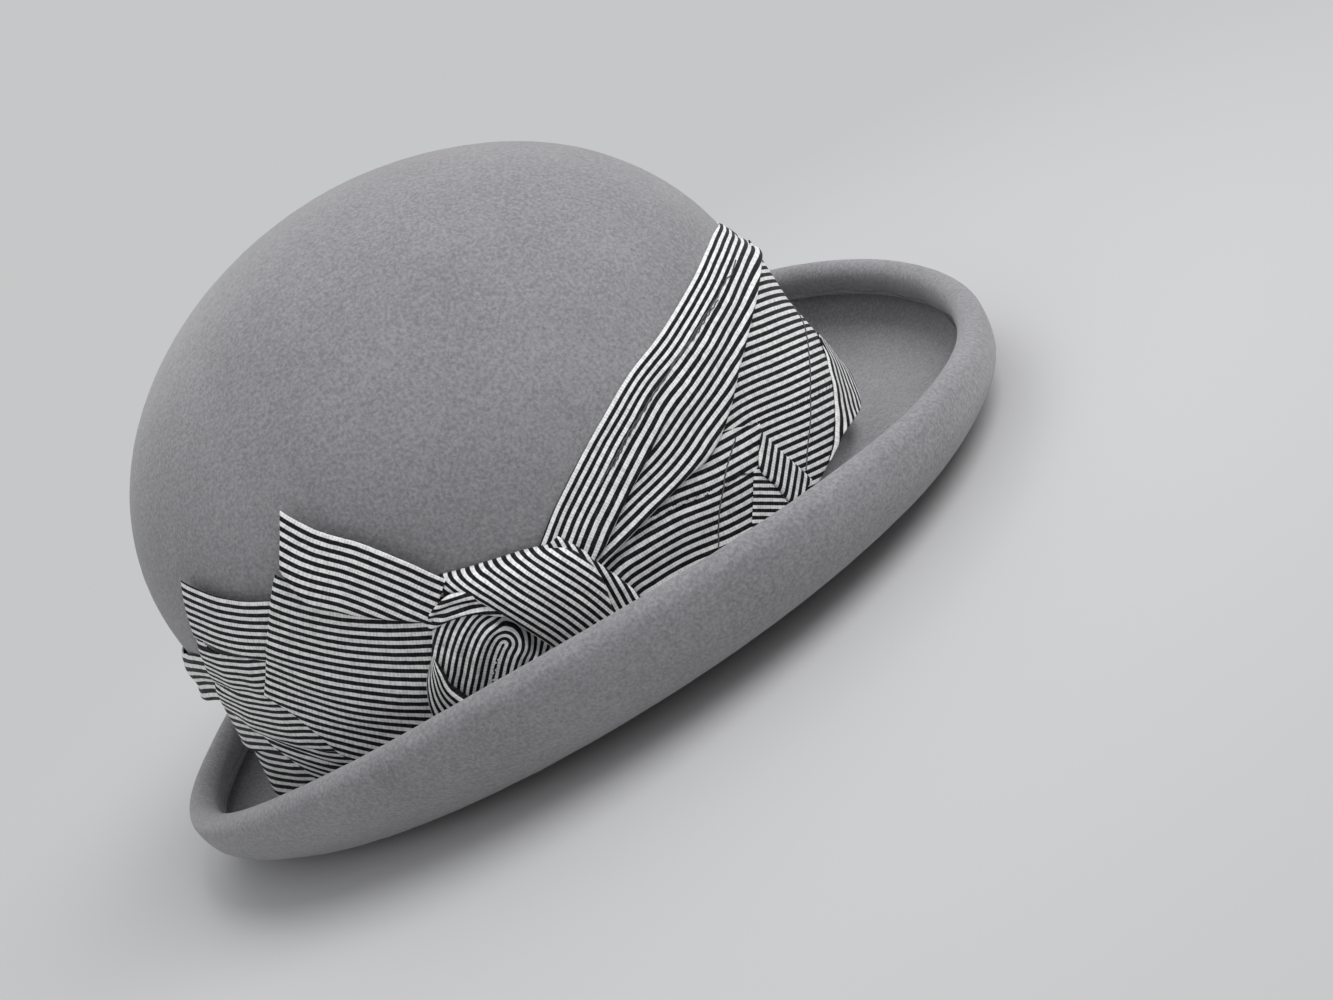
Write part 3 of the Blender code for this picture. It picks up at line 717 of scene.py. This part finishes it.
def noise_node(tree, coordinates, scale, detail, roughness=0.5):
    node = tree.nodes.new("ShaderNodeTexNoise")
    node.inputs["Scale"].default_value = scale
    node.inputs["Detail"].default_value = detail
    node.inputs["Roughness"].default_value = roughness
    tree.links.new(coordinates, node.inputs["Vector"])
    return node.outputs["Fac"]


def mix_colours(tree, factor, first, second):
    node = tree.nodes.new("ShaderNodeMix")
    node.data_type = "RGBA"
    tree.links.new(factor, node.inputs[0])
    for socket, value in zip((node.inputs[6], node.inputs[7]), (first, second)):
        if isinstance(value, tuple):
            socket.default_value = (*value, 1.0)
        else:
            tree.links.new(value, socket)
    return node.outputs[2]


def map_range(tree, value, low, high, to_low=0.0, to_high=1.0):
    node = tree.nodes.new("ShaderNodeMapRange")
    node.interpolation_type = "SMOOTHSTEP"
    tree.links.new(value, node.inputs["Value"])
    for name, number in zip(("From Min", "From Max", "To Min", "To Max"), (low, high, to_low, to_high)):
        node.inputs[name].default_value = number
    return node.outputs["Result"]


def bump_node(tree, shader, height, strength, distance):
    node = tree.nodes.new("ShaderNodeBump")
    node.inputs["Strength"].default_value = strength
    node.inputs["Distance"].default_value = distance
    tree.links.new(height, node.inputs["Height"])
    tree.links.new(node.outputs["Normal"], shader.inputs["Normal"])


def object_coordinates(tree):
    return tree.nodes.new("ShaderNodeTexCoord").outputs["Object"]


def felt_material():
    """Wool felt: matted fibres as fine mottling, with a soft nap."""
    material, tree, shader = new_material("grey_wool_felt")
    place = object_coordinates(tree)
    fibres = noise_node(tree, place, 1000.0, 5.0, 0.65)
    tufts = noise_node(tree, place, 420.0, 3.0)
    cloud = noise_node(tree, place, 28.0, 2.0)
    mottle = math_node(tree, "MULTIPLY", fibres, 0.72)
    mottle = math_node(tree, "ADD", mottle, math_node(tree, "MULTIPLY", tufts, 0.12))
    mottle = math_node(tree, "ADD", mottle, math_node(tree, "MULTIPLY", cloud, 0.16))
    colour = mix_colours(tree, map_range(tree, mottle, 0.30, 0.70), FELT_DARK, FELT_LIGHT)
    tree.links.new(colour, shader.inputs["Base Color"])
    tree.links.new(map_range(tree, fibres, 0.2, 0.8, 0.88, 1.0), shader.inputs["Roughness"])
    shader.inputs["Specular IOR Level"].default_value = 0.12
    shader.inputs["Sheen Weight"].default_value = 0.28
    shader.inputs["Sheen Roughness"].default_value = 0.55
    height = math_node(tree, "ADD", fibres, math_node(tree, "MULTIPLY", tufts, 0.6))
    bump_node(tree, shader, height, 0.55, 0.35 * MM)
    return material


def cloth_material():
    """Striped cotton: black and white stripes over a fine weave, with flecks where the yarns cross."""
    material, tree, shader = new_material("striped_cotton")
    uv = tree.nodes.new("ShaderNodeUVMap")
    uv.uv_map = "weave"
    split = tree.nodes.new("ShaderNodeSeparateXYZ")
    tree.links.new(uv.outputs["UV"], split.inputs[0])
    across, along = split.outputs["X"], split.outputs["Y"]
    place = object_coordinates(tree)
    waver = math_node(tree, "MULTIPLY", noise_node(tree, place, 420.0, 2.0), 0.22)
    phase = math_node(tree, "FRACT", math_node(tree, "DIVIDE", math_node(tree, "ADD", across, waver), STRIPE))
    ridge = math_node(tree, "ABSOLUTE", math_node(tree, "SUBTRACT", phase, 0.5))
    white = map_range(tree, ridge, 0.24, 0.28)
    yarn_along = math_node(tree, "SINE", math_node(tree, "MULTIPLY", along, 2.0 * math.pi / YARN_ALONG))
    yarn_across = math_node(tree, "SINE", math_node(tree, "MULTIPLY", across, 2.0 * math.pi / YARN_ACROSS))
    yarn = math_node(tree, "ADD", yarn_along, math_node(tree, "MULTIPLY", yarn_across, 0.5))
    tone = noise_node(tree, place, 700.0, 2.0)
    fleck = math_node(tree, "ADD", math_node(tree, "MULTIPLY", yarn, 0.10), tone)
    light = mix_colours(tree, map_range(tree, fleck, 0.25, 0.7), (0.64, 0.64, 0.635), (0.90, 0.90, 0.89))
    dark = mix_colours(tree, map_range(tree, fleck, 0.3, 0.9), (0.005, 0.005, 0.007), (0.03, 0.03, 0.036))
    tree.links.new(mix_colours(tree, white, dark, light), shader.inputs["Base Color"])
    tree.links.new(map_range(tree, white, 0.0, 1.0, 0.62, 0.85), shader.inputs["Roughness"])
    shader.inputs["Specular IOR Level"].default_value = 0.12
    shader.inputs["Sheen Weight"].default_value = 0.03
    height = math_node(tree, "MULTIPLY", white, 0.5)
    height = math_node(tree, "ADD", height, math_node(tree, "MULTIPLY", yarn, 0.25))
    bump_node(tree, shader, height, 0.5, 0.12 * MM)
    return material


def ribbon_material():
    """Ribbed grosgrain ribbon."""
    material, tree, shader = new_material("grosgrain_ribbon")
    place = object_coordinates(tree)
    split = tree.nodes.new("ShaderNodeSeparateXYZ")
    tree.links.new(place, split.inputs[0])
    forward = math_node(tree, "SUBTRACT", split.outputs["X"], CROWN_X)
    turn = math_node(tree, "ARCTAN2", split.outputs["Y"], forward)
    rib = math_node(tree, "SINE", math_node(tree, "MULTIPLY", turn, 560.0))
    tone = noise_node(tree, place, 160.0, 3.0)
    shade = math_node(tree, "ADD", math_node(tree, "MULTIPLY", rib, 0.18), tone)
    colour = mix_colours(tree, map_range(tree, shade, 0.25, 0.8), (0.06, 0.06, 0.066), (0.17, 0.17, 0.18))
    tree.links.new(colour, shader.inputs["Base Color"])
    tree.links.new(map_range(tree, rib, -1.0, 1.0, 0.75, 0.5), shader.inputs["Roughness"])
    bump_node(tree, shader, rib, 0.5, 0.12 * MM)
    return material


def thread_material():
    """Twisted sewing thread."""
    material, tree, shader = new_material("twisted_thread")
    twist = noise_node(tree, object_coordinates(tree), 2400.0, 2.0)
    colour = mix_colours(tree, map_range(tree, twist, 0.3, 0.7), (0.05, 0.05, 0.055), (0.12, 0.12, 0.13))
    tree.links.new(colour, shader.inputs["Base Color"])
    shader.inputs["Roughness"].default_value = 0.75
    bump_node(tree, shader, twist, 0.4, 0.05 * MM)
    return material


def metal_material(name, dark, light, roughness):
    """Drawn metal with faint scratches."""
    material, tree, shader = new_material(name)
    scratch = noise_node(tree, object_coordinates(tree), 700.0, 5.0)
    colour = mix_colours(tree, map_range(tree, scratch, 0.3, 0.7), dark, light)
    tree.links.new(colour, shader.inputs["Base Color"])
    tree.links.new(map_range(tree, scratch, 0.3, 0.7, roughness, roughness + 0.2), shader.inputs["Roughness"])
    shader.inputs["Metallic"].default_value = 1.0
    bump_node(tree, shader, scratch, 0.15, 0.05 * MM)
    return material


def finish_node(node, material):
    """Gives a CAD node that stays visible its material."""
    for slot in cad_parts[node].material_slots:
        slot.link = "OBJECT"
        slot.material = material


# ---------------------------------------------------------------- stage

def floor_material():
    """A pale floor that fades into the pale surroundings, and gives back less light than it shows."""
    material, tree, shader = new_material("pale_floor")
    place = object_coordinates(tree)
    far = tree.nodes.new("ShaderNodeVectorMath")
    far.operation = "LENGTH"
    tree.links.new(place, far.inputs[0])
    tone = noise_node(tree, place, 3.0, 2.0)
    near = mix_colours(tree, tone, (0.56, 0.56, 0.565), (0.60, 0.60, 0.605))
    path = tree.nodes.new("ShaderNodeLightPath")
    colour = mix_colours(tree, path.outputs["Is Camera Ray"], FLOOR_BOUNCE, near)
    tree.links.new(colour, shader.inputs["Base Color"])
    shader.inputs["Roughness"].default_value = 0.9
    shader.inputs["Specular IOR Level"].default_value = 0.0
    glow = tree.nodes.new("ShaderNodeEmission")
    glow.inputs["Color"].default_value = BACKDROP
    mix = tree.nodes.new("ShaderNodeMixShader")
    fade = map_range(tree, far.outputs["Value"], FADE_START, FADE_END)
    tree.links.new(fade, mix.inputs[0])
    tree.links.new(shader.outputs[0], mix.inputs[1])
    tree.links.new(glow.outputs[0], mix.inputs[2])
    tree.links.new(mix.outputs[0], tree.nodes["Material Output"].inputs["Surface"])
    return material


def add_floor():
    mesh = bpy.data.meshes.new("floor")
    half = 12.0
    corners = [(-half, -half, 0), (half, -half, 0), (half, half, 0), (-half, half, 0)]
    mesh.from_pydata(corners, [], [(0, 1, 2, 3)])
    floor = bpy.data.objects.new("floor", mesh)
    mesh.materials.append(floor_material())
    floor.location.z = -0.3 * MM
    bpy.context.scene.collection.objects.link(floor)


def add_world():
    """Pale surroundings: one brightness for what the camera sees and one for the light they give."""
    world = bpy.data.worlds.new("studio")
    bpy.context.scene.world = world
    world.use_nodes = True
    tree = world.node_tree
    seen = tree.nodes["Background"]
    seen.inputs["Color"].default_value = BACKDROP
    given = tree.nodes.new("ShaderNodeBackground")
    given.inputs["Color"].default_value = (0.97, 0.98, 1.0, 1.0)
    given.inputs["Strength"].default_value = WORLD_LIGHT
    path = tree.nodes.new("ShaderNodeLightPath")
    mix = tree.nodes.new("ShaderNodeMixShader")
    tree.links.new(path.outputs["Is Camera Ray"], mix.inputs[0])
    tree.links.new(given.outputs[0], mix.inputs[1])
    tree.links.new(seen.outputs[0], mix.inputs[2])
    tree.links.new(mix.outputs[0], tree.nodes["World Output"].inputs["Surface"])


def add_light(name, place, size, power):
    data = bpy.data.lights.new(name, "AREA")
    data.shape = "DISK"
    data.size = size
    data.energy = power
    light = bpy.data.objects.new(name, data)
    light.location = place
    light.rotation_mode = "QUATERNION"
    light.rotation_quaternion = (Vector((0, 0, 0.07)) - Vector(place)).to_track_quat("-Z", "Y")
    bpy.context.scene.collection.objects.link(light)


def add_camera():
    """The camera leans, so that the hat tips back as it does when worn on the back of the head."""
    azimuth, elevation, roll = (math.radians(a) for a in (CAMERA_AZIMUTH, CAMERA_ELEVATION, CAMERA_ROLL))
    back = Vector((math.sin(azimuth) * math.cos(elevation), -math.cos(azimuth) * math.cos(elevation),
                   math.sin(elevation)))
    level = Vector((math.cos(azimuth), math.sin(azimuth), 0.0))
    upward = back.cross(level)
    right = level * math.cos(roll) - upward * math.sin(roll)
    up = upward * math.cos(roll) + level * math.sin(roll)
    place = CAMERA_TARGET + back * CAMERA_DISTANCE
    aim = CAMERA_TARGET + right * CAMERA_AIM_RIGHT - up * CAMERA_AIM_DOWN
    behind = (place - aim).normalized()
    right = (right - behind * right.dot(behind)).normalized()
    up = behind.cross(right)
    data = bpy.data.cameras.new("camera")
    data.lens = CAMERA_LENS
    data.sensor_width = 36.0
    camera = bpy.data.objects.new("camera", data)
    rotation = Matrix((right, up, behind)).transposed().to_4x4()
    camera.matrix_world = Matrix.Translation(place) @ rotation
    bpy.context.scene.collection.objects.link(camera)
    bpy.context.scene.camera = camera


def build():
    felt = felt_material()
    cloth = cloth_material()
    felt_crown(felt)
    felt_brim(felt)
    ribbon_sweatband(ribbon_material())
    thread = thread_material()
    for node in ("headline_thread", "sweatband_thread", "hem_thread"):
        finish_node(node, thread)
    finish_node("brim_wire", metal_material("spring_steel", (0.42, 0.42, 0.43), (0.60, 0.60, 0.61), 0.3))
    finish_node("wire_joiner", metal_material("crimped_brass", (0.62, 0.47, 0.20), (0.80, 0.63, 0.30), 0.25))
    rear_wrap(cloth)
    far_sash(cloth)
    under_piece, lower_piece = front_panels(cloth)
    sash_piece = front_sash(cloth)
    knot(cloth)
    tails(cloth)
    pull_threads(sash_piece, under_piece, lower_piece, thread)
    add_floor()
    add_world()
    add_light("key", (1.15, -0.35, 1.35), 1.3, 21.0)
    add_light("fill", (-1.2, -1.2, 0.9), 1.6, 2.0)
    add_light("back", (-0.3, 1.5, 1.4), 1.4, 8.0)
    add_camera()
    bpy.context.scene.view_settings.view_transform = "Standard"


build()
